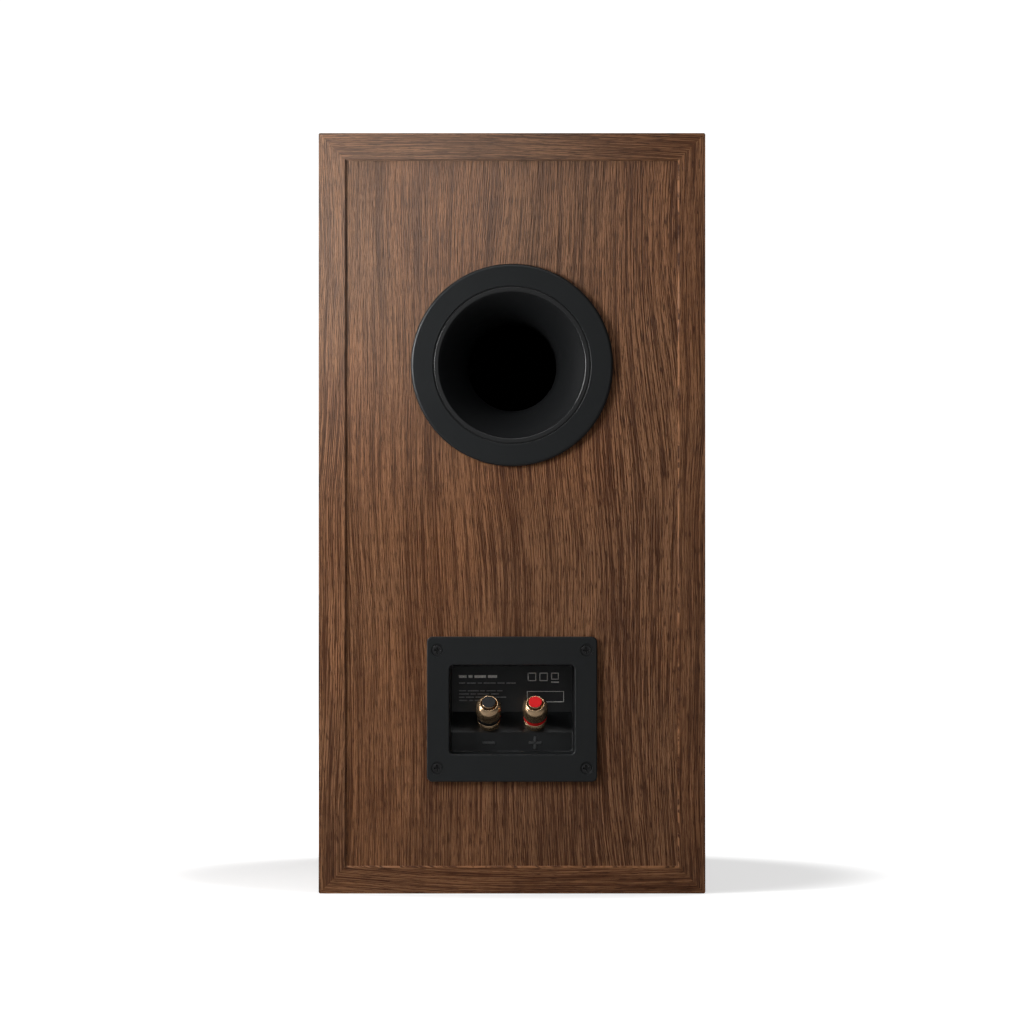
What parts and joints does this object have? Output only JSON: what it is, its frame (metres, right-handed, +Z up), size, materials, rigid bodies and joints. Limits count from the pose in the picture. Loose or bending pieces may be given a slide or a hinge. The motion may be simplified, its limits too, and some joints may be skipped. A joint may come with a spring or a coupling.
{
  "type": "bookshelf speaker",
  "caption": "Rear-ported box loudspeaker with mitred wood frame, recessed terminal cup with screw posts, and coaxial mid-high and bass drivers in front.",
  "frame": {"origin": "centre of the footprint, on the surface that the cabinet stands on", "axes": "+Z up; -Y the way the drivers face; +Y the way the port and terminals face; +X to the left of someone looking at the back"},
  "size_m": [0.21, 0.315, 0.413],
  "materials": {
    "walnut_veneer": "satin dark-stained wood veneer, grain along each board",
    "bare_mdf": "raw fibreboard",
    "black_moulding": "fine satin moulded plastic",
    "black_cap": "semi-gloss moulded plastic",
    "red_cap": "semi-gloss moulded plastic",
    "post_brass": "machined, knurled sides and polished ends",
    "black_steel": "black zinc plated",
    "plated_steel": "bright zinc plated",
    "cast_frame": "black powder coat on die-cast alloy",
    "cone_metal": "fine matt anodised",
    "ferrite": "sintered ferrite, ground faces",
    "surround_rubber": "moulded rubber",
    "spider_cloth": "resin-treated corrugated cloth",
    "coil_copper": "enamelled copper winding on its former",
    "white_wadding": "loose polyester wadding",
    "circuit_board": "green solder mask",
    "capacitor_film": "plain film sleeve",
    "resistor_body": "white cemented block",
    "cable_sheath": "soft black sheath",
    "gasket_foam": "closed-cell foam"
  },
  "bodies": {
    "cabinet": {"left_panel": "walnut_veneer", "right_panel": "walnut_veneer", "top_panel": "walnut_veneer", "bottom_panel": "walnut_veneer", "front_baffle": "walnut_veneer", "rear_panel": "walnut_veneer", "window_brace": "bare_mdf", "side_wadding": "white_wadding", "port_trim_ring": "black_moulding", "port_flare": "black_moulding", "port_sleeve": "black_moulding", "port_inner_flare": "black_moulding", "port_screws": "black_steel", "terminal_cup": "black_moulding", "terminal_gasket": "gasket_foam", "terminal_screws": "black_steel", "negative_post": "post_brass", "positive_post": "post_brass", "post_nuts": "plated_steel", "post_solder_tags": "plated_steel", "crossover_board": "circuit_board", "woofer_inductor": "coil_copper", "air_core_inductors": "coil_copper", "crossover_capacitors": "capacitor_film", "crossover_resistors": "resistor_body", "crossover_spacers": "black_moulding", "crossover_screws": "plated_steel", "woofer_trim_ring": "black_moulding", "woofer_basket": "cast_frame", "woofer_surround": "surround_rubber", "woofer_spider": "spider_cloth", "woofer_top_plate": "plated_steel", "woofer_magnet": "ferrite", "woofer_yoke": "plated_steel", "driver_screws": "black_steel", "midrange_trim_ring": "black_moulding", "midrange_basket": "cast_frame", "midrange_surround": "surround_rubber", "midrange_spider": "spider_cloth", "midrange_top_plate": "plated_steel", "midrange_magnet": "ferrite", "midrange_yoke": "plated_steel", "midrange_chamber": "black_moulding", "tweeter_waveguide": "black_moulding", "tweeter_motor": "plated_steel", "input_lead": "cable_sheath", "woofer_lead": "cable_sheath", "midrange_lead": "cable_sheath"},
    "woofer_diaphragm": {"woofer_cone": "cone_metal", "woofer_dust_cap": "cone_metal", "woofer_voice_coil": "coil_copper"},
    "midrange_diaphragm": {"midrange_cone": "cone_metal", "midrange_voice_coil": "coil_copper"},
    "tweeter_diaphragm": {"tweeter_dome": "cone_metal"},
    "negative_ring_body": {"negative_ring": "black_cap"},
    "negative_knob_body": {"negative_knob": "post_brass"},
    "negative_cap_body": {"negative_cap": "black_cap"},
    "positive_ring_body": {"positive_ring": "red_cap"},
    "positive_knob_body": {"positive_knob": "post_brass"},
    "positive_cap_body": {"positive_cap": "red_cap"}
  },
  "joints": [
    {"name": "negative_ring_lift", "type": "slide", "parent": "cabinet", "child": "negative_ring_body", "axis": [0, 0.809, 0.5878], "range_m": [0, 0.006]},
    {"name": "negative_knob_turn", "type": "hinge", "parent": "negative_ring_body", "child": "negative_knob_body", "pos_m": [0.01265, 0.14771, 0.09945], "axis": [0, 0.809, 0.5878], "range_deg": [0, 2160]},
    {"name": "negative_cap_pull", "type": "slide", "parent": "cabinet", "child": "negative_cap_body", "axis": [0, 0.809, 0.5878], "range_m": [0, 0.014]},
    {"name": "positive_ring_lift", "type": "slide", "parent": "cabinet", "child": "positive_ring_body", "axis": [0, 0.809, 0.5878], "range_m": [0, 0.006]},
    {"name": "positive_knob_turn", "type": "hinge", "parent": "positive_ring_body", "child": "positive_knob_body", "pos_m": [-0.01265, 0.14771, 0.09945], "axis": [0, 0.809, 0.5878], "range_deg": [0, 2160]},
    {"name": "positive_cap_pull", "type": "slide", "parent": "cabinet", "child": "positive_cap_body", "axis": [0, 0.809, 0.5878], "range_m": [0, 0.014]},
    {"name": "woofer_travel", "type": "slide", "parent": "cabinet", "child": "woofer_diaphragm", "axis": [0, 1, 0], "range_m": [-0.005, 0.005], "stiffness_N_per_m": 1600, "deforming": ["woofer_surround", "woofer_spider"]},
    {"name": "midrange_travel", "type": "slide", "parent": "cabinet", "child": "midrange_diaphragm", "axis": [0, 1, 0], "range_m": [-0.0015, 0.0015], "stiffness_N_per_m": 3000, "deforming": ["midrange_surround", "midrange_spider"]},
    {"name": "tweeter_travel", "type": "slide", "parent": "cabinet", "child": "tweeter_diaphragm", "axis": [0, 1, 0], "range_m": [-0.0003, 0.0003], "stiffness_N_per_m": 4000}
  ],
  "couplings": [
    {"joint": "negative_knob_turn", "follows": "negative_ring_lift", "rad_per_m": 6283.2},
    {"joint": "positive_knob_turn", "follows": "positive_ring_lift", "rad_per_m": 6283.2}
  ]
}
